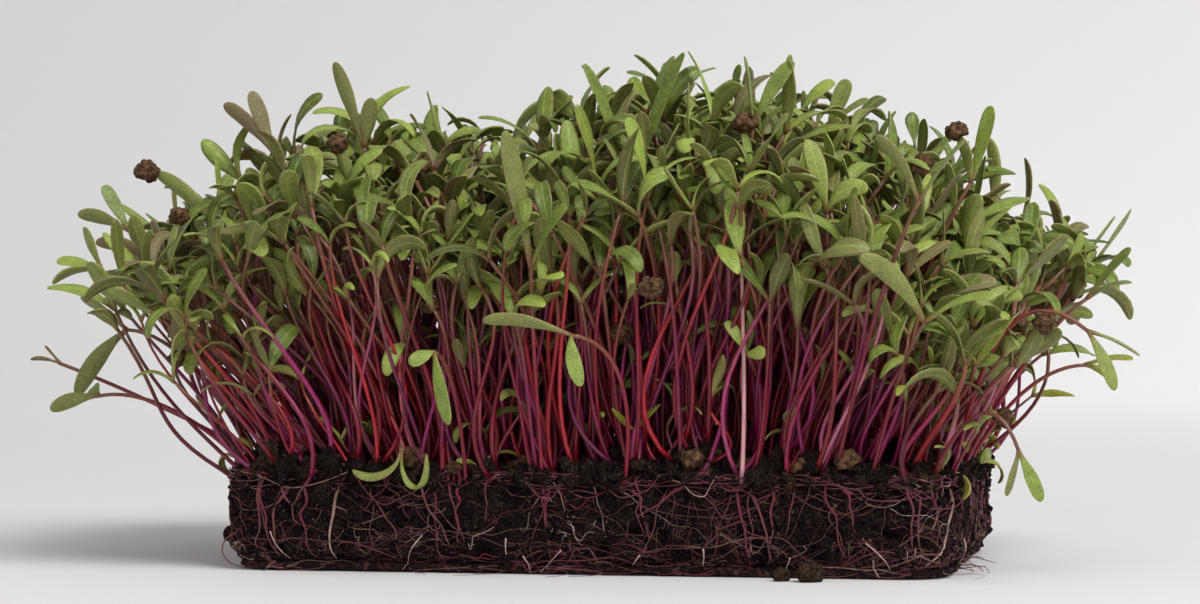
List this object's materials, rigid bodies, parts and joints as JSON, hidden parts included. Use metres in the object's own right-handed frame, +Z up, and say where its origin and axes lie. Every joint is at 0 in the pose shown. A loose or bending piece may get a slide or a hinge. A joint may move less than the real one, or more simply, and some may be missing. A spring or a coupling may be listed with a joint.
{
  "type": "microgreens soil block",
  "caption": "Dense stand of red-stemmed beet microgreens fanning out over a rectangular slab of dark potting soil with roots matted on its underside.",
  "frame": {"origin": "middle of the slab's flat underside, where the root mat rests on a table", "axes": "+X along the long front face towards its right end, +Y from the front face to the back, +Z up from the underside to the leaves"},
  "size_m": [0.248, 0.1373, 0.11],
  "materials": {
    "soil": "damp, crumbly dark potting soil of peat and bark fibre, matt, with a few pale specks",
    "roots": "fine felted roots, cream to crimson, matt and slightly moist",
    "greens": "seedlings with smooth crimson stems and sage-green seed leaves of a fine crystalline sheen",
    "husk": "dry, corky brown seed balls with a crinkled surface"
  },
  "bodies": {
    "root": {"root_mat": "roots", "soil_block": "soil", "cluster_row1_place1": "greens", "cluster_row1_place2": "greens", "cluster_row1_place3": "greens", "cluster_row1_place4": "greens", "cluster_row1_place5": "greens", "cluster_row1_place6": "greens", "cluster_row1_place7": "greens", "cluster_row2_place1": "greens", "cluster_row2_place2": "greens", "cluster_row2_place3": "greens", "cluster_row2_place4": "greens", "cluster_row2_place5": "greens", "cluster_row2_place6": "greens", "cluster_row2_place7": "greens", "cluster_row3_place1": "greens", "cluster_row3_place2": "greens", "cluster_row3_place3": "greens", "cluster_row3_place4": "greens", "cluster_row3_place5": "greens", "cluster_row3_place6": "greens", "cluster_row3_place7": "greens", "cluster_row4_place1": "greens", "cluster_row4_place2": "greens", "cluster_row4_place3": "greens", "cluster_row4_place4": "greens", "cluster_row4_place5": "greens", "cluster_row4_place6": "greens", "cluster_row4_place7": "greens", "seedling_low_left": "greens", "seedling_hook_left": "greens", "seedling_hanging_left": "greens", "seedling_outer_left": "greens", "seedling_brown_left": "greens", "seedling_upper_left": "greens", "seedling_husk_left": "greens", "seedling_brown_top": "greens", "seedling_tall_left": "greens", "seedling_big_front": "greens", "seedling_top_arch": "greens", "seedling_top_pair": "greens", "seedling_top_right": "greens", "seedling_right_pair": "greens", "seedling_cross_right": "greens", "seedling_fork_right": "greens", "seedling_far_right": "greens", "seedling_droop_right": "greens", "seedling_level_right": "greens", "seedling_low_right": "greens", "seedling_front_pair": "greens", "seedling_front_hanging": "greens", "seed_husk_left": "husk", "seed_husk_right": "husk", "seed_husk_front": "husk", "soil_crumb_large": "soil", "soil_crumb_small": "soil"}
  },
  "joints": []
}
